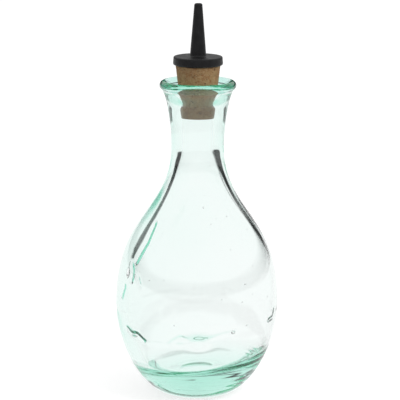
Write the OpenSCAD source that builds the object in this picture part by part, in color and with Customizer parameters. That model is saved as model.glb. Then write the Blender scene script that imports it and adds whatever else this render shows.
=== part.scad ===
// A hand-blown bitters bottle with a dasher stopper.
// The glass is one piece: thick base, round belly, narrow neck and a rolled lip.
// The stopper is a tapered cork with a moulded spout pressed through it.
// Millimetres, +Z up. The origin is the centre of the foot, on the surface it stands on.

/* [Bottle] */
// Height of the glass, from the foot to the top of the lip
bottle_h = 137; // [130:1:150]
// Widest diameter of the belly
body_d = 70.4; // [62:0.2:80]
// Height of the widest part of the belly
belly_h = 41; // [34:0.5:48]
// Diameter of the flat ring that the bottle stands on
foot_d = 24; // [20:1:32]
// Diameter of the hollow pushed up in the middle of the foot
push_up_d = 14; // [10:1:18]
// Depth of that hollow
push_up_h = 1; // [0.5:0.1:2]
// Outside diameter of the neck where it is narrowest
neck_d = 22.9; // [21:0.1:28]
// Height of the narrowest part of the neck
neck_h = 108.5; // [98:0.5:114]
// Outside diameter of the lip
lip_d = 32.9; // [30:0.1:38]
// Thickness of the rolled bead of the lip
lip_bead_d = 3.9; // [3:0.1:5]

/* [Glass] */
// Mean thickness of the belly's wall
wall = 3; // [2.2:0.1:4.5]
// Thickness of the glass under the middle of the floor inside
base_t = 14; // [9:0.5:16]
// Diameter of the flat middle of that floor
floor_d = 34; // [22:1:40]
// Height over which the floor curves up into the wall
floor_curl = 9; // [6:0.5:12]
// How far the floor leans, in degrees, as it does when the glass sets on the rod
floor_lean = 5; // [0:0.5:8]
// Bore of the throat, the narrowest way in
throat_d = 13.6; // [11:0.1:14]
// How far the air space hangs off centre at the belly, as blown glass does
drift = 1.3; // [0:0.1:1.6]

/* [Curves] */
// How far the underside runs out flat from the foot before it turns up
heel_run = 10.6; // [8:0.1:16]
// Share of the height from foot to belly that the belly stays full
heel_swell = 0.54; // [0.4:0.01:0.7]
// Share of the height from belly to neck that the belly stays full
shoulder_swell = 0.55; // [0.4:0.01:0.7]
// Share of the height from neck down to belly that the neck stays slim
neck_hold = 0.42; // [0.25:0.01:0.5]
// Share of the height from neck up to lip that the neck stays slim
flare_hold = 0.47; // [0.2:0.01:0.6]

/* [Cork] */
// Diameter of the cork's wide end
cork_top_d = 19.2; // [17.5:0.1:20.5]
// Diameter of the cork's narrow end
cork_end_d = 14.2; // [13:0.1:15.5]
// Length of the cork
cork_l = 22.1; // [19:0.1:26]
// Depth of the cork's narrow end below the top of the lip
cork_depth = 15.3; // [12:0.1:18]
// Bevel round each end of the cork
cork_bevel = 0.5; // [0.2:0.1:1]
// Length of the bore in the glass that has the cork's taper
seat_l = 5; // [3:0.5:7]
// Gap between the cork and the glass, all round
seat_gap = 0.1; // [0.05:0.05:0.3]

/* [Dasher] */
// Diameter of the flange that covers the cork
flange_d = 21.3; // [20.2:0.1:24]
// Thickness of the flange
flange_t = 3.6; // [2.5:0.1:5]
// Radius of the flange's edges
flange_edge = 0.6; // [0.3:0.1:1.2]
// Height of the spout above the flange
spout_l = 22.6; // [16:0.1:28]
// Diameter of the spout where it leaves the flange
spout_base_d = 6.9; // [6:0.1:9]
// Diameter of the spout at its tip
spout_tip_d = 3.5; // [3.2:0.1:4.6]
// Radius of the tip's outer edge
tip_round = 0.7; // [0.3:0.1:0.9]
// Radius of the fillet between spout and flange
spout_fillet = 0.9; // [0.4:0.1:1.5]
// Diameter of the hole that the dashes leave by
orifice_d = 1.5; // [1:0.1:1.9]
// Length of that hole, before the channel widens
orifice_l = 3; // [1.5:0.1:5]
// Bore of the channel at the foot of the stem
channel_d = 3.4; // [2.8:0.1:4]
// Diameter of the stem inside the cork
stem_d = 6.2; // [5.6:0.1:6.8]
// Distance from the end of the stem to the end of the cork
stem_short = 0.6; // [0:0.1:2]
// Height of each barb on the stem
barb_h = 0.45; // [0.2:0.05:0.7]
// Distance from one barb to the next
barb_pitch = 4; // [3:0.5:6]
// How many barbs the stem has
barbs = 4; // [2:1:4]
// Gap between the stem and the cork, all round
stem_gap = 0.02; // [0.01:0.01:0.05]

/* [Hidden] */
$fn = 96;

lip_bead_r = lip_bead_d / 2;
lip_ring_r = lip_d / 2 - lip_bead_r;
lip_ring_z = bottle_h - lip_bead_r;
cork_z = bottle_h - cork_depth;
cork_taper = (cork_top_d - cork_end_d) / 2 / cork_l;
flange_z = cork_z + cork_l;
spout_z = flange_z + flange_t;
stem_z = cork_z + stem_short;
tip_z = spout_z + spout_l;
belly_r = body_d / 2 - wall;
air_lean = atan(drift / (neck_h - belly_h));
over = 1;  // how far a cut runs past what it cuts

// Points along a cubic curve from a to d that leaves a towards b and meets d from c.
function curve(a, b, c, d, steps) = [
    for (i = [0:steps])
        let (t = i / steps, u = 1 - t)
        a * u * u * u + b * 3 * u * u * t + c * 3 * u * t * t + d * t * t * t
];

// Points along an arc about a centre, from one angle to another.
function arc(centre, r, from, to, steps) = [
    for (i = [0:steps])
        let (angle = from + (to - from) * i / steps)
        centre + r * [cos(angle), sin(angle)]
];

// Radius of the bore where it has the cork's taper.
function seat_r(z) = cork_end_d / 2 + (z - cork_z) * cork_taper + seat_gap;

// Outside of the glass as a half section, from the foot to the inside of the lip.
module glass_outline() {
    lip_under = [lip_ring_r, lip_ring_z] + lip_bead_r * [cos(-62), sin(-62)];
    polygon(concat(
        [[0, 0]],
        curve([foot_d / 2, 0],
              [foot_d / 2 + heel_run, 0],
              [body_d / 2, belly_h * (1 - heel_swell)],
              [body_d / 2, belly_h], 26),
        curve([body_d / 2, belly_h],
              [body_d / 2, belly_h + (neck_h - belly_h) * shoulder_swell],
              [neck_d / 2, neck_h - (neck_h - belly_h) * neck_hold],
              [neck_d / 2, neck_h], 34),
        curve([neck_d / 2, neck_h],
              [neck_d / 2, neck_h + (lip_ring_z - neck_h) * flare_hold],
              lip_under - [lip_bead_r, 1.6 * lip_bead_r],
              lip_under, 18),
        [[lip_ring_r, lip_ring_z], [lip_ring_r - lip_bead_r * 0.9, lip_ring_z - lip_bead_r * 0.4],
         [0, lip_ring_z - lip_bead_r * 0.4]]
    ));
    translate([lip_ring_r, lip_ring_z]) circle(r = lip_bead_r);
}

// The way in as a half section: the funnel of the lip, the cork's seat and the throat.
module bore_outline() {
    mouth = [lip_ring_r - lip_bead_r * 0.9, lip_ring_z - lip_bead_r * 0.4];
    seat_end = cork_z - over;
    seat_top = cork_z + seat_l;
    polygon(concat(
        [[0, mouth[1]]],
        curve(mouth,
              mouth - [lip_bead_r * 0.6, lip_bead_r * 1.4],
              [seat_r(seat_top), seat_top] + 2.6 * [cork_taper, 1],
              [seat_r(seat_top), seat_top], 16),
        curve([seat_r(seat_end), seat_end],
              [seat_r(seat_end), seat_end] - 3 * [cork_taper, 1],
              [throat_d / 2 - 0.05, neck_h + 3],
              [throat_d / 2 - 0.1, neck_h - 3], 12),
        [[0, neck_h - 3]]
    ));
    translate([0, mouth[1] - over]) square([mouth[0] - over, 2 * over]);
}

// The air space as a half section, from the throat down, before the floor closes it.
module air_outline() {
    polygon(concat(
        [[0, wall]],
        curve([foot_d / 2, wall],
              [foot_d / 2 + heel_run - wall / 3, wall],
              [belly_r, belly_h - (belly_h - wall) * heel_swell],
              [belly_r, belly_h], 18),
        curve([belly_r, belly_h],
              [belly_r, belly_h + (neck_h - belly_h) * (shoulder_swell - 0.04)],
              [throat_d / 2 + 0.6, neck_h - (neck_h - belly_h) * neck_hold],
              [throat_d / 2 - 0.15, neck_h + 3], 26),
        [[0, neck_h + 3]]
    ));
}

// What lies above the floor as a half section: a shallow dish, wide enough for any wall above it.
module dish_outline() {
    polygon(concat(
        [[0, 0]],
        curve([floor_d / 2, 0],
              [belly_r - floor_curl / 2, 0],
              [belly_r + drift, floor_curl / 3],
              [belly_r + 2 * drift, floor_curl], 10),
        [[body_d, bottle_h], [0, bottle_h]]
    ));
}

// The air space: hung a little off centre from the throat, over a floor that leans.
module air_space() {
    intersection() {
        translate([0, 0, neck_h]) rotate([0, -air_lean, 0]) translate([0, 0, -neck_h])
            rotate_extrude() air_outline();
        translate([0, 0, base_t]) rotate([0, -floor_lean, 0])
            rotate_extrude() dish_outline();
    }
}

// The blown glass: one solid, open at the lip.
module bottle() {
    color([0.78, 0.92, 0.88, 0.45])
    difference() {
        rotate_extrude() glass_outline();
        rotate_extrude() bore_outline();
        air_space();
        push_up();
    }
}

// The shallow hollow that the pontil rod leaves in the foot.
module push_up() {
    ball_r = (push_up_d * push_up_d / 4 + push_up_h * push_up_h) / 2 / push_up_h;
    translate([0, 0, push_up_h - ball_r]) sphere(r = ball_r);
}

// The stem as a half section, with barbs that hold it in the cork; grow widens it all round.
module stem_outline(grow) {
    r = stem_d / 2 + grow;
    first = stem_z + 1.5;
    polygon(concat(
        [[0, stem_z - grow], [r - 0.6, stem_z - grow], [r, stem_z + 0.6]],
        [for (i = [0:barbs - 1]) for (p = [[0, 0], [barb_h, barb_pitch * 0.45], [0, barb_pitch * 0.45 + 0.3]])
            [r + p[0], first + i * barb_pitch + p[1]]],
        [[r, flange_z], [0, flange_z]]
    ));
}

// The tapered cork, with a hole in which the barbed stem is pressed.
module cork() {
    color([0.66, 0.52, 0.33])
    rotate_extrude() difference() {
        polygon([
            [0, cork_z],
            [cork_end_d / 2 - cork_bevel, cork_z],
            [cork_end_d / 2 + cork_taper * cork_bevel, cork_z + cork_bevel],
            [cork_top_d / 2 - cork_taper * cork_bevel, flange_z - cork_bevel],
            [cork_top_d / 2 - cork_bevel, flange_z],
            [0, flange_z]
        ]);
        stem_outline(stem_gap);
        translate([0, cork_z - over]) square([stem_d / 2 + stem_gap - 0.6, stem_short + over]);
    }
}

// The flange and the tapered spout as a half section.
module spout_outline() {
    r = flange_d / 2;
    tip = spout_tip_d / 2;
    base = spout_base_d / 2;
    polygon(concat(
        [[0, flange_z]],
        arc([r - flange_edge, flange_z + flange_edge], flange_edge, -90, 0, 6),
        arc([r - flange_edge - 0.15, spout_z - flange_edge], flange_edge, 0, 90, 6),
        arc([base + spout_fillet, spout_z + spout_fillet], spout_fillet, 270, 180, 6),
        arc([tip - tip_round, tip_z - tip_round], tip_round, 8, 90, 6),
        [[0, tip_z]]
    ));
}

// The channel inside the dasher as a half section: wide at the stem's foot, narrow at the tip.
module channel_outline() {
    polygon([
        [0, stem_z - over],
        [channel_d / 2 + 0.4 + over, stem_z - over],
        [channel_d / 2, stem_z + 0.4],
        [channel_d / 2, spout_z],
        [orifice_d / 2, tip_z - orifice_l],
        [orifice_d / 2, tip_z - 0.4],
        [orifice_d / 2 + 0.4 + over, tip_z + over],
        [0, tip_z + over]
    ]);
}

// The moulded dasher: flange, spout and barbed stem in one piece, with a channel right through.
module dasher() {
    color([0.07, 0.07, 0.08])
    rotate_extrude() difference() {
        union() {
            spout_outline();
            stem_outline(0);
        }
        channel_outline();
    }
}

bottle();
cork();
dasher();
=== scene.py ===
import math

import bmesh
import bpy
import numpy as np
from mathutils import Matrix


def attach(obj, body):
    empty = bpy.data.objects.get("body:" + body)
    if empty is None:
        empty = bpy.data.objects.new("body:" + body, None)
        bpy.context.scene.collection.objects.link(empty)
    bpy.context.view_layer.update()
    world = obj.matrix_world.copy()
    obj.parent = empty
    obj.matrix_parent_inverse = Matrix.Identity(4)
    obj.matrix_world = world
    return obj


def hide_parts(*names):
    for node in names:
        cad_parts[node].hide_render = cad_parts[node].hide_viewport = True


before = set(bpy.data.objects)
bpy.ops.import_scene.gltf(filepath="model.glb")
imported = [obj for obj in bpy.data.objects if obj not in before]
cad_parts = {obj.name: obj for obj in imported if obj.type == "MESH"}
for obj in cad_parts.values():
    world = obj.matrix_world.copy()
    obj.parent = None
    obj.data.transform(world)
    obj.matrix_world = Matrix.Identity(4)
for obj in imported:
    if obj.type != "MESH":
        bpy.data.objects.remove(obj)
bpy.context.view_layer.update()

scene = bpy.context.scene


# Bottle. Mouth-blown in pale green recycled glass, so the air space leans inside the wall and
# its thick floor slopes. The foot has a shallow push-up, and the lip is a rolled, fire-polished
# bead. Folds, a chill ring and seeds in the metal are those of hand work.
MM = 0.001
COLUMNS = 224  # points in each turn of the glass
bottle_h, body_d, belly_h, foot_d = 137, 70.4, 41, 24
push_up_d, push_up_h = 14, 1
neck_d, neck_h, lip_d, lip_bead_r = 22.9, 108.5, 32.9, 1.95
wall, base_t, floor_d, floor_curl, floor_lean = 3, 14, 34, 9, 5
throat_d, drift = 13.6, 1.3
heel_run, heel_swell, shoulder_swell, neck_hold, flare_hold = 10.6, 0.54, 0.55, 0.42, 0.47
cork_z, cork_l, cork_end_d, cork_top_d, seat_l, seat_gap = 121.7, 22.1, 14.2, 19.2, 5, 0.1
cork_taper = (cork_top_d - cork_end_d) / 2 / cork_l
lip_ring_r, lip_ring_z = lip_d / 2 - lip_bead_r, bottle_h - lip_bead_r
flare_turn, funnel_turn, funnel_hold = -62, 158, 3.0
belly_r = body_d / 2 - wall
air_lean = math.atan(drift / (neck_h - belly_h))


def curve(a, b, c, d, steps=60):
    """Points on the cubic curve that leaves a towards b and comes into d from c."""
    t = np.linspace(0, 1, steps + 1)[:, None]
    u = 1 - t
    a, b, c, d = (np.array(p, float) for p in (a, b, c, d))
    return a * u**3 + b * 3 * u * u * t + c * 3 * u * t * t + d * t**3


def arc(centre, r, start, end, steps=24):
    """Points on a circle's arc, from one angle in degrees to another."""
    angle = np.radians(np.linspace(start, end, steps + 1))
    return np.array(centre) + r * np.stack([np.cos(angle), np.sin(angle)], 1)


def joined(*runs):
    """One line from several runs of points, with doubled points left out."""
    line = np.concatenate([np.array(run, float) for run in runs])
    keep = np.r_[True, np.hypot(*np.diff(line, axis=0).T) > 1e-6]
    return line[keep]


def spaced(line, gap):
    """The line again, in steps of about gap(r, z) along it."""
    along = np.r_[0, np.cumsum(np.hypot(*np.diff(line, axis=0).T))]
    fine = np.linspace(0, along[-1], 6000)
    r, z = (np.interp(fine, along, line[:, k]) for k in (0, 1))
    count = np.r_[0, np.cumsum((fine[1] - fine[0]) / gap(r, z)[:-1])]
    at = np.interp(np.arange(round(count[-1]) + 1) * count[-1] / round(count[-1]), count, fine)
    return np.stack([np.interp(at, fine, r), np.interp(at, fine, z)], 1)


def smooth_step(x, start, end):
    """0 before start, 1 past end, and eased between them."""
    t = np.clip((x - start) / (end - start), 0, 1)
    return t * t * (3 - 2 * t)


def waves(rng, turn, z, count, around, upright):
    """Slow swells over turn (radians) and height, from a few seeded cosines, about -1 to 1.
    around is the least and most waves in a turn, and upright the radians in a millimetre."""
    total = np.zeros(np.broadcast(turn, z).shape)
    for _ in range(count):
        k = rng.integers(around[0], around[1] + 1)
        m = rng.uniform(*upright) * rng.choice([-1, 1])
        total = total + np.cos(k * turn + m * z + rng.uniform(0, 2 * math.pi))
    return total / math.sqrt(count) / 1.2


def line_ridge(turn, z, radius, points, height, width):
    """A ridge of that height and half width along a line of (angle, height) points, in mm."""
    nearest = np.full(np.broadcast(turn, z).shape, 1e9)
    for (a0, z0), (a1, z1) in zip(points, points[1:]):
        dx, dz = math.radians(a1 - a0) * radius, z1 - z0
        px = (np.mod(turn - math.radians(a0) + math.pi, 2 * math.pi) - math.pi) * radius
        pz = z - z0
        t = np.clip((px * dx + pz * dz) / (dx * dx + dz * dz + 1e-9), 0, 1)
        nearest = np.minimum(nearest, np.hypot(px - t * dx, pz - t * dz))
    return height * np.exp(-((nearest / width) ** 2))


def lump(turn, z, radius, at, height, size):
    """An oval swelling, with half widths around and up."""
    a, z0 = at
    px = (np.mod(turn - math.radians(a) + math.pi, 2 * math.pi) - math.pi) * radius
    return height * np.exp(-((px / size[0]) ** 2) - ((z - z0) / size[1]) ** 2)


# Folds stand up inside where cooling glass creased, and lumps are thick spots. Angles run from
# the front towards the right in degrees, and heights, widths and thicknesses are in mm.
FOLDS = [
    ([(-57.5, 74.9), (-56.3, 68.5), (-60.8, 61.0)], 0.9, 1.0),
    ([(-65.4, 58.7), (-61.0, 55.8), (-61.0, 52.9)], 0.5, 0.8),
    ([(-73.9, 44.4), (-70.0, 49.0)], 0.4, 0.8),
    ([(-50.0, 51.6), (-54.0, 55.0)], 0.3, 0.7),
    ([(-66.0, 31.5), (-60.7, 29.9), (-54.0, 30.6), (-48.0, 28.4)], 0.7, 0.8),
    ([(-48.0, 28.4), (-42.2, 28.2), (-30.2, 28.8)], 0.2, 0.8),
    ([(-23.5, 28.6), (-20.0, 30.6), (-14.3, 32.4), (-10.5, 31.6)], 0.5, 0.7),
    ([(5.4, 31.6), (17.4, 33.6), (27.2, 34.3)], 0.25, 0.8),
    ([(64.0, 35.6), (71.2, 35.9), (74.0, 38.5)], 0.6, 0.8),
]
LUMPS = [((-1.0, 30.2), 1.3, (4.6, 2.6)), ((-17.0, 29.0), 0.4, (1.6, 1.0))]


def outer_wall():
    """The outside from the foot's edge to the neck."""
    return joined(
        curve([foot_d / 2, 0], [foot_d / 2 + heel_run, 0],
              [body_d / 2, belly_h * (1 - heel_swell)], [body_d / 2, belly_h]),
        curve([body_d / 2, belly_h], [body_d / 2, belly_h + (neck_h - belly_h) * shoulder_swell],
              [neck_d / 2, neck_h - (neck_h - belly_h) * neck_hold], [neck_d / 2, neck_h]),
    )


def air_radius(z):
    """Radius of the air space about its own leaning axis."""
    line = joined(
        curve([foot_d / 2, wall], [foot_d / 2 + heel_run - wall / 3, wall],
              [belly_r, belly_h - (belly_h - wall) * heel_swell], [belly_r, belly_h]),
        curve([belly_r, belly_h], [belly_r, belly_h + (neck_h - belly_h) * (shoulder_swell - 0.04)],
              [throat_d / 2 + 0.6, neck_h - (neck_h - belly_h) * neck_hold],
              [throat_d / 2 - 0.15, neck_h + 3]),
    )
    return np.interp(z, line[:, 1], line[:, 0])


def floor_height(r):
    """Height of the air space's floor over its middle, in the floor's own tilt."""
    line = joined(
        [[0, 0]],
        curve([floor_d / 2, 0], [belly_r - floor_curl / 2, 0],
              [belly_r + drift, floor_curl / 3], [belly_r + 2 * drift, floor_curl]),
        [[body_d, bottle_h]],
    )
    return np.interp(r, line[:, 0], line[:, 1])


def depth(x, y, z, corner=3.0):
    """Below zero in the air space, in mm: its leaning wall, rounded into its sloping floor."""
    c, s = math.cos(air_lean), math.sin(air_lean)
    up = z - neck_h
    side = np.hypot(c * x + s * up, y) - air_radius(neck_h - s * x + c * up)
    c, s = math.cos(math.radians(floor_lean)), math.sin(math.radians(floor_lean))
    up = z - base_t
    below = floor_height(np.hypot(c * x + s * up, y)) - (-s * x + c * up)
    near = np.maximum(corner - np.abs(side - below), 0) / corner
    return np.maximum(side, below) + near * near * corner / 4


def reach(ox, oz, turn, rise):
    """How far the air space goes from a point on its axis, by direction."""
    dx, dy = np.cos(rise) * np.sin(turn), -np.cos(rise) * np.cos(turn)
    dz = np.sin(rise) * np.ones_like(turn)
    low, high = np.zeros(dx.shape), np.full(dx.shape, 80.0)
    for _ in range(40):
        mid = (low + high) / 2
        inside = depth(ox + dx * mid, dy * mid, oz + dz * mid) < 0
        low, high = np.where(inside, mid, low), np.where(inside, high, mid)
    return low, dx, dy, dz


def thickening(rng, turn, z, fade):
    """How much the wall is thicker inside: slow swells where fade is 1, folds and lumps."""
    thick = 0.22 * waves(rng, turn, z, 9, (1, 5), (0.03, 0.14)) * fade
    thick = thick + sum(line_ridge(turn, z, belly_r, *fold) for fold in FOLDS)
    return thick + sum(lump(turn, z, belly_r, *one) for one in LUMPS)


def seat(z):
    """A point on the cork's seat at a height, as (radius, height)."""
    return np.array([cork_end_d / 2 + (z - cork_z) * cork_taper + seat_gap, z])


def glass_grid():
    """Rows of points from the middle of the push-up, up the outside, over the lip and down
    the inside to the middle of the floor."""
    rng = np.random.default_rng(41)
    turn = np.linspace(0, 2 * math.pi, COLUMNS, endpoint=False)[None, :]
    ball_r = (push_up_d**2 / 4 + push_up_h**2) / 2 / push_up_h
    dome = np.linspace(0, push_up_d / 2, 8)
    under = arc([lip_ring_r, lip_ring_z], lip_bead_r, flare_turn, flare_turn, 1)[0]
    leave = math.radians(funnel_turn)
    mouth = np.array([lip_ring_r + lip_bead_r * math.cos(leave),
                      lip_ring_z + lip_bead_r * math.sin(leave)])
    down = np.array([-math.sin(leave), math.cos(leave)])

    outside = joined(
        np.stack([dome, push_up_h - ball_r + np.sqrt(ball_r**2 - dome**2)], 1),
        outer_wall(),
        curve([neck_d / 2, neck_h], [neck_d / 2, neck_h + (lip_ring_z - neck_h) * flare_hold],
              under - np.array([1, 1.6]) * lip_bead_r, under),
        arc([lip_ring_r, lip_ring_z], lip_bead_r, flare_turn, funnel_turn),
    )
    bore = joined(
        curve(mouth, mouth + funnel_hold * down,
              seat(cork_z + seat_l) + 1.2 * np.array([cork_taper, 1]), seat(cork_z + seat_l)),
        curve(seat(cork_z - 1), seat(cork_z - 1) - 3 * np.array([cork_taper, 1]),
              [throat_d / 2 - 0.05, neck_h + 3], [throat_d / 2 - 0.1, neck_h - 3]),
    )
    outside = spaced(outside, lambda r, z: np.where(z > 130, 0.45, np.where(z < 26, 0.6, 0.85)))
    r, z = outside[:, :1], outside[:, 1:]
    body = smooth_step(z, 1.5, 8) * smooth_step(-z, -128, -112)
    swell = waves(rng, turn, z, 9, (1, 6), (0.04, 0.16))
    ripple = waves(rng, turn, z, 5, (0, 2), (1.9, 2.9)) * smooth_step(-z, -24, -12)
    r = r - body * (0.09 + 0.07 * swell + 0.035 * ripple).clip(0)
    rows = [np.stack([r * np.sin(turn), -r * np.cos(turn), z + 0 * turn], 2)]

    bore = spaced(bore, lambda r, z: np.full(r.shape, 0.8))[1:]
    bore = bore[bore[:, 1] > neck_h + 3]
    r, z = bore[:, :1], bore[:, 1:]
    rows.append(np.stack([r * np.sin(turn), -r * np.cos(turn), z + 0 * turn], 2))

    fan_z = 38.0  # below it the rows fan out from one point, down over the floor
    z = np.arange(neck_h + 3, fan_z, -0.85)[:, None]
    ox = np.maximum(neck_h - z, 0) * math.tan(air_lean)
    far, dx, dy, _ = reach(ox, z, turn + 0 * z, 0.0)
    joint = smooth_step(z, neck_h - 3, neck_h + 3)
    far = far * (1 - joint) + joint * np.interp(z, bore[::-1, 1], bore[::-1, 0])
    far = far - thickening(rng, turn, z, smooth_step(-z, -110, -98))
    rows.append(np.stack([ox + far * dx, far * dy, z + 0 * turn], 2))

    rise = -np.radians(np.linspace(0, 90, 96)[1:])[:, None]
    ox = (neck_h - fan_z) * math.tan(air_lean)
    far, dx, dy, dz = reach(ox, fan_z, turn + 0 * rise, rise)
    height = fan_z + far * dz
    thick = thickening(rng, turn, height, smooth_step(height, 20, 34))
    far = far - thick * smooth_step(-rise, 0, 0.02) * smooth_step(rise, -1.4, -1.2)
    rows.append(np.stack([ox + far * dx, far * dy, fan_z + far * dz], 2))
    return np.concatenate(rows)


def grid_faces(rows, columns, closed_ends):
    """Faces of a grid that is closed around, with a point at each end or its ends joined."""
    j = np.arange(columns)
    k = (j + 1) % columns
    if not closed_ends:
        starts = np.arange(rows) * columns
        ends = np.roll(starts, -1)
        return [quad for a, b in zip(starts, ends)
                for quad in np.stack([a + j, a + k, b + k, b + j], 1).tolist()]
    faces = [[0, 1 + b, 1 + a] for a, b in zip(j, k)]
    for i in range(rows - 1):
        a, b = 1 + i * columns, 1 + (i + 1) * columns
        faces += np.stack([a + j, a + k, b + k, b + j], 1).tolist()
    last, end = 1 + (rows - 1) * columns, 1 + rows * columns
    faces += [[end, last + a, last + b] for a, b in zip(j, k)]
    return [[int(n) for n in face] for face in faces]


def piece(name, points, faces, body, node):
    """A smooth mesh piece in place of a CAD node, from points in mm."""
    mesh = bpy.data.meshes.new(name)
    mesh.from_pydata((np.array(points) * MM).tolist(), [], faces)
    mesh.validate()
    mesh.shade_smooth()
    made = bpy.data.objects.new(name, mesh)
    scene.collection.objects.link(made)
    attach(made, body)
    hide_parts(node)
    return made


# Seeds are gas bubbles caught in the wall: angle, height, half widths around, up and inward.
SEEDS = [
    (27.2, 34.3, 0.95, 0.85, 0.5), (38.7, 36.4, 0.6, 0.3, 0.35), (8.3, 85.1, 0.35, 0.5, 0.3),
    (38.4, 80.9, 0.3, 0.35, 0.3), (15.2, 78.6, 0.3, 0.3, 0.25), (-37.9, 55.4, 0.4, 0.35, 0.3),
    (-16.2, 37.7, 0.4, 0.35, 0.3), (38.2, 54.1, 0.55, 0.35, 0.3), (18.1, 48.8, 0.35, 0.25, 0.25),
    (34.3, 46.8, 0.3, 0.4, 0.25), (-63.0, 56.0, 1.6, 2.6, 0.6),
]


def bubbles():
    """Closed bubbles in the wall, facing inwards, as (points, faces)."""
    rng = np.random.default_rng(17)
    ball = bmesh.new()
    bmesh.ops.create_icosphere(ball, subdivisions=2, radius=1)
    shape = np.array([v.co for v in ball.verts])
    sides = [[v.index for v in f.verts][::-1] for f in ball.faces]
    ball.free()
    more = [(rng.uniform(60, 300), rng.uniform(24, 100), *rng.uniform(0.18, 0.36, 3))
            for _ in range(26)]
    points, faces, outside = [], [], outer_wall()
    for angle, z, wide, high, thick in SEEDS + more:
        a = math.radians(angle)
        out = np.array([math.sin(a), -math.cos(a), 0])
        side = np.array([math.cos(a), math.sin(a), 0])
        radius = float(np.interp(z, outside[:, 1], outside[:, 0]))
        middle = out * (radius - 0.5 * wall) + np.array([0, 0, z])
        start = len(points) * len(shape)
        points.append(middle + shape[:, :1] * wide * side + shape[:, 1:2] * thick * out
                      + shape[:, 2:] * high * np.array([0, 0, 1]))
        faces += [[start + n for n in side_face] for side_face in sides]
    return np.concatenate(points), faces


grid = glass_grid()
rows = len(grid)
glass_points = np.concatenate([grid[0].mean(0)[None], grid[1:-1].reshape(-1, 3),
                               grid[-1].mean(0)[None]])
seed_points, seed_faces = bubbles()
glass_faces = grid_faces(rows - 2, COLUMNS, True)
glass_faces += [[n + len(glass_points) for n in face] for face in seed_faces]
bottle = piece("glass_bottle", np.concatenate([glass_points, seed_points]), glass_faces,
               "bottle", "bottle")


class Wire:
    """An output socket of a material's nodes. Its operators add Math nodes, and node() adds
    any other node."""

    def __init__(self, tree, socket=None):
        self.tree, self.socket = tree, socket

    def node(self, kind, settings=(), sockets=(), out=None):
        """Adds a node: its settings first, then a value or a Wire for each of its sockets."""
        made = self.tree.nodes.new("ShaderNode" + kind)
        for name, value in dict(settings).items():
            setattr(made, name, value)
        for key, value in dict(sockets).items():
            found = self._find(made.inputs, key)
            if isinstance(value, Wire):
                self.tree.links.new(value.socket, found)
            elif hasattr(value, "__len__") and found.type == "RGBA" and len(value) == 3:
                found.default_value = (*value, 1)
            else:
                found.default_value = value
        return Wire(self.tree, self._find(made.outputs, out) if made.outputs else None)

    @staticmethod
    def _find(sockets, key):
        if isinstance(key, int):
            return sockets[key]
        return next(s for s in sockets if s.enabled and key in (None, s.name))

    def out(self, name):
        """Another output of the same node."""
        return Wire(self.tree, self._find(self.socket.node.outputs, name))

    def mix(self, a, b):
        """From colour a to colour b as this value goes from 0 to 1."""
        return self.node("Mix", {"data_type": "RGBA"}, {"Factor": self, "A": a, "B": b})

    def span(self, start, end, low=0.0, high=1.0):
        """This value mapped smoothly from start..end to low..high."""
        return self.node("MapRange", {"interpolation_type": "SMOOTHSTEP"}, {
            "Value": self, "From Min": start, "From Max": end, "To Min": low, "To Max": high})

    def _math(self, operation, *values):
        return self.node("Math", {"operation": operation}, dict(enumerate(values)))

    def __add__(self, other):
        return self._math("ADD", self, other)

    def __sub__(self, other):
        return self._math("SUBTRACT", self, other)

    def __rsub__(self, other):
        return self._math("SUBTRACT", other, self)

    def __mul__(self, other):
        return self._math("MULTIPLY", self, other)

    def __gt__(self, other):
        return self._math("GREATER_THAN", self, other)

    __radd__, __rmul__ = __add__, __mul__


def new_material(name, *pieces_with_it):
    """An empty material on its pieces, and a Wire to add its nodes with."""
    made = bpy.data.materials.new(name)
    made.use_nodes = True
    made.node_tree.nodes.clear()
    for one in pieces_with_it:
        one.data.materials.clear()
        one.data.materials.append(made)
    return Wire(made.node_tree)


glass = new_material("blown green glass", bottle)
place = glass.node("TexCoord", out="Object")
height = place.node("SeparateXYZ", sockets={"Vector": place}, out="Z")
lip = height.span(0.1325, 0.1338)  # the bead, where light runs round and picks up more green
clear, lip_green = (1.0, 1.0, 1.0), (0.62, 0.88, 0.82)
surface = glass.node("BsdfPrincipled", sockets={
    "Base Color": lip.mix(clear, lip_green),
    "Roughness": 0.0, "IOR": 1.51, "Transmission Weight": 1.0,
})
inside = glass.node("VolumeAbsorption", sockets={"Color": (0.275, 0.825, 0.675), "Density": 20.0})
glass.node("OutputMaterial", sockets={"Surface": surface, "Volume": inside})


# Cork. A tapered stopper punched from cork board, bored for the dasher's stem and pushed into
# the seat below the mouth. Its skin shows lenticels, grain and small pits.
cork_bevel, stem_gap = 0.5, 0.02
stem_d, stem_short, barb_h, barb_pitch, barbs = 6.2, 0.6, 0.45, 4, 4
flange_z = cork_z + cork_l


def stem_line(grow):
    """The barbed stem's outline from its foot up to the flange."""
    r, first = stem_d / 2 + grow, cork_z + stem_short + 1.5
    line = [[r - 0.6, cork_z + stem_short - grow], [r, cork_z + stem_short + 0.6]]
    for i in range(barbs):
        for dr, dz in ((0, 0), (barb_h, barb_pitch * 0.45), (0, barb_pitch * 0.45 + 0.3)):
            line.append([r + dr, first + i * barb_pitch + dz])
    return np.array(line + [[r, flange_z]])


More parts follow.
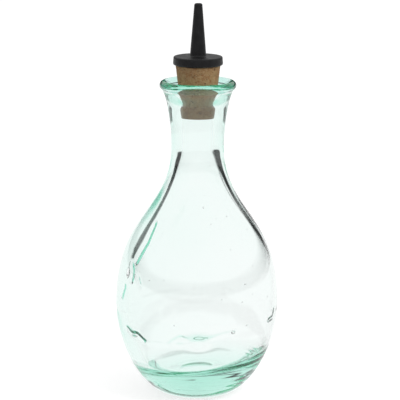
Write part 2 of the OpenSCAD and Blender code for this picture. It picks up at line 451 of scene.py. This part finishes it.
cork_side = joined(
    [[stem_d / 2 + stem_gap - 0.6, cork_z], [cork_end_d / 2 - cork_bevel, cork_z]],
    arc([cork_end_d / 2 - cork_bevel, cork_z + cork_bevel], cork_bevel, -90, -6, 5),
    arc([cork_top_d / 2 - cork_bevel - 0.06, flange_z - cork_bevel], cork_bevel, -6, 90, 5),
    [[stem_d / 2 + stem_gap, flange_z]],
)
cork_side = spaced(cork_side, lambda r, z: np.where(r > 6.5, 0.33, 0.9))
cork_line = joined(cork_side, stem_line(stem_gap)[::-1],
                   [[stem_d / 2 + stem_gap - 0.6, cork_z]])[:-1]
cork_turns = 180
turn = np.linspace(0, 2 * math.pi, cork_turns, endpoint=False)[None, :]
r, z = cork_line[:, :1], cork_line[:, 1:]
rng = np.random.default_rng(23)
pit_count, deepest = 150, 0.4
skin = np.zeros((len(cork_line), cork_turns))
for _ in range(pit_count):
    a, z0, deep = rng.uniform(0, 360), rng.uniform(cork_z, flange_z), rng.uniform(0.05, 0.3)
    wide = rng.uniform(0.25, 0.9)
    skin += lump(turn, z, 8.5, (a, z0), deep, (wide, rng.uniform(0.2, 0.45)))
skin += 0.05 + 0.05 * waves(rng, turn, z, 8, (3, 22), (0.3, 2.2))
skin = skin.clip(0, deepest) * (r > 6)
r = r - skin
cork_points = np.stack([r * np.sin(turn), -r * np.cos(turn), z + 0 * turn], 2).reshape(-1, 3)
cork = piece("cork_stopper", cork_points, grid_faces(len(cork_line), cork_turns, False),
             "stopper", "cork")

bark = new_material("cork board", cork)
place = bark.node("TexCoord", out="Object")
cells = bark.node("TexVoronoi", {"feature": "F1"}, {
    "Vector": place, "Scale": 620.0, "Randomness": 1.0})
cell_tone = cells.node("SeparateColor", sockets={"Color": cells.out("Color")}, out="Red")
blotch = bark.node("TexNoise", sockets={
    "Vector": place, "Scale": 210.0, "Detail": 3.0, "Roughness": 0.6})
grain = bark.node("TexNoise", sockets={
    "Vector": place, "Scale": 1500.0, "Detail": 4.0, "Roughness": 0.7})
flecks = bark.node("TexNoise", sockets={
    "Vector": place, "Scale": 900.0, "Detail": 2.0, "Distortion": 1.2})
red_bark, tan_bark, pale_grain, dark_pit = (
    (0.24, 0.115, 0.048), (0.30, 0.195, 0.092), (0.36, 0.24, 0.125), (0.075, 0.036, 0.018))
tone = blotch * 0.7 + cell_tone * 0.3
colour = tone.span(0.3, 0.75).mix(red_bark, tan_bark)
colour = grain.span(0.35, 0.7).mix(colour, pale_grain)
pits = flecks.span(0.60, 0.70)
colour = pits.mix(colour, dark_pit)
bump = bark.node("Bump", sockets={"Strength": 0.5, "Distance": 0.0004, "Height": grain * 0.5 - pits})
shade = bark.node("BsdfPrincipled", sockets={
    "Base Color": colour, "Roughness": 0.85, "Specular IOR Level": 0.25, "Normal": bump})
bark.node("OutputMaterial", sockets={"Surface": shade})


# Dasher. Black polypropylene, moulded in one piece: a barbed stem held in the cork, a flange
# that seals on its top, and a tapered spout with a stepped channel and a fine hole.
flange_d, flange_t, flange_edge = 21.3, 3.6, 0.6
spout_l, spout_base_d, spout_tip_d, tip_round, spout_fillet = 22.6, 6.9, 3.5, 0.7, 0.9
orifice_d, orifice_l, channel_d = 1.5, 3, 3.4
spout_z = flange_z + flange_t
tip_z = spout_z + spout_l
stem_z = cork_z + stem_short
spout_line = joined(
    stem_line(0),
    arc([flange_d / 2 - flange_edge, flange_z + flange_edge], flange_edge, -90, 0, 8),
    arc([flange_d / 2 - flange_edge - 0.15, spout_z - flange_edge], flange_edge, 0, 90, 8),
    arc([spout_base_d / 2 + spout_fillet, spout_z + spout_fillet], spout_fillet, 270, 180, 8),
    arc([spout_tip_d / 2 - tip_round, tip_z - tip_round], tip_round, 8, 90, 8),
    [[orifice_d / 2 + 0.35, tip_z], [orifice_d / 2, tip_z - 0.4], [orifice_d / 2, tip_z - orifice_l],
     [channel_d / 2, spout_z], [channel_d / 2, stem_z + 0.4], [channel_d / 2 + 0.4, stem_z]],
)
spout_line = joined(spaced(spout_line, lambda r, z: np.full(r.shape, 0.35)))
dasher_turns = 144
turn = np.linspace(0, 2 * math.pi, dasher_turns, endpoint=False)[None, :]
r, z = spout_line[:, :1], spout_line[:, 1:]
r, z = r + 0 * turn, z + 0 * turn
dasher_points = np.stack([r * np.sin(turn), -r * np.cos(turn), z], 2).reshape(-1, 3)
dasher = piece("dasher_spout", dasher_points, grid_faces(len(spout_line), dasher_turns, False),
               "stopper", "dasher")

plastic = new_material("moulded black plastic", dasher)
place = plastic.node("TexCoord", out="Object")
mottle = plastic.node("TexNoise", sockets={"Vector": place, "Scale": 350.0, "Detail": 3.0})
fine = plastic.node("TexNoise", sockets={"Vector": place, "Scale": 4200.0, "Detail": 2.0})
bump = plastic.node("Bump", sockets={"Strength": 0.25, "Distance": 0.00005, "Height": fine})
shade = plastic.node("BsdfPrincipled", sockets={
    "Base Color": mottle.span(0.3, 0.7).mix((0.006, 0.006, 0.0065), (0.011, 0.011, 0.012)),
    "Roughness": mottle.span(0.3, 0.7, 0.38, 0.5), "Specular IOR Level": 0.2, "Normal": bump})
plastic.node("OutputMaterial", sockets={"Surface": shade})


# Studio. A white floor that runs off to a white background, soft light all round, and a large
# soft lamp above on the right. Seen through glass or in a gloss, the room has a dark band just
# over the horizon, which draws the dark lines along the inside of the wall.
camera = bpy.data.objects.new("camera", bpy.data.cameras.new("camera"))
scene.collection.objects.link(camera)
scene.camera = camera
camera.data.lens, camera.data.sensor_width = 187.7, 36
camera_far, camera_rise, camera_roll = 0.9, math.radians(12), math.radians(-0.31)
aim_x, aim_z = 0.00015, 0.0849
camera.location = (aim_x, -camera_far * math.cos(camera_rise),
                   aim_z + camera_far * math.sin(camera_rise))
camera.rotation_euler = (math.pi / 2 - camera_rise, camera_roll, 0)

floor_mesh = bpy.data.meshes.new("floor")
reach_out, under_foot = 6, -0.0001
floor_mesh.from_pydata([(x * reach_out, y * reach_out, under_foot)
                        for x, y in ((-1, -1), (1, -1), (1, 1), (-1, 1))], [], [(0, 1, 2, 3)])
floor = bpy.data.objects.new("floor", floor_mesh)
scene.collection.objects.link(floor)
paper = new_material("white floor", floor)
ray = paper.node("LightPath")
seen = (ray.out("Is Camera Ray") + ray.out("Is Glossy Ray") + ray.out("Is Transmission Ray")) > 0.5
through = (ray.out("Is Glossy Ray") + ray.out("Is Transmission Ray")) > 0.5
glow = paper.node("Emission", sockets={"Color": (1, 1, 1), "Strength": seen * 0.7})
matt = paper.node("BsdfDiffuse", sockets={"Color": (0.45, 0.45, 0.45)})
direct = paper.node("AddShader", sockets={0: matt, 1: glow})
bright = paper.node("Emission", sockets={"Color": (1, 1, 1), "Strength": 1.0})
finish = paper.node("MixShader", sockets={0: through, 1: direct, 2: bright})
paper.node("OutputMaterial", sockets={"Surface": finish})

world = bpy.data.worlds.new("studio")
scene.world = world
world.use_nodes = True
world.node_tree.nodes.clear()
sky = Wire(world.node_tree)
ray = sky.node("LightPath")
way = sky.node("TexCoord", out="Generated")
rise = way.node("SeparateXYZ", sockets={"Vector": way}, out="Z")
room = rise.span(-0.01, 0.03, 1.0, 0.04) + rise.span(0.17, 0.25, 0.0, 0.96)
through = (ray.out("Is Glossy Ray") + ray.out("Is Transmission Ray")) > 0.5
plain = 0.78  # what lights the cork and the plastic
level = through * room + (1 - through) * plain
level = ray.out("Is Camera Ray") + (1 - ray.out("Is Camera Ray")) * level
sky.node("OutputWorld", sockets={
    "Surface": sky.node("Background", sockets={"Color": (1, 1, 1), "Strength": level})})

lamp = bpy.data.objects.new("soft_lamp", bpy.data.lights.new("soft_lamp", "AREA"))
scene.collection.objects.link(lamp)
lamp.data.shape, lamp.data.size, lamp.data.energy = "DISK", 0.7, 7.0
lamp.location = (0.75, -0.55, 0.9)
lamp.rotation_euler = (math.radians(46), 0, math.radians(54))
lamp.visible_glossy = lamp.visible_transmission = lamp.visible_camera = False

scene.view_settings.view_transform = "Standard"
scene.cycles.max_bounces = 40
scene.cycles.glossy_bounces = 32
scene.cycles.transmission_bounces = 40
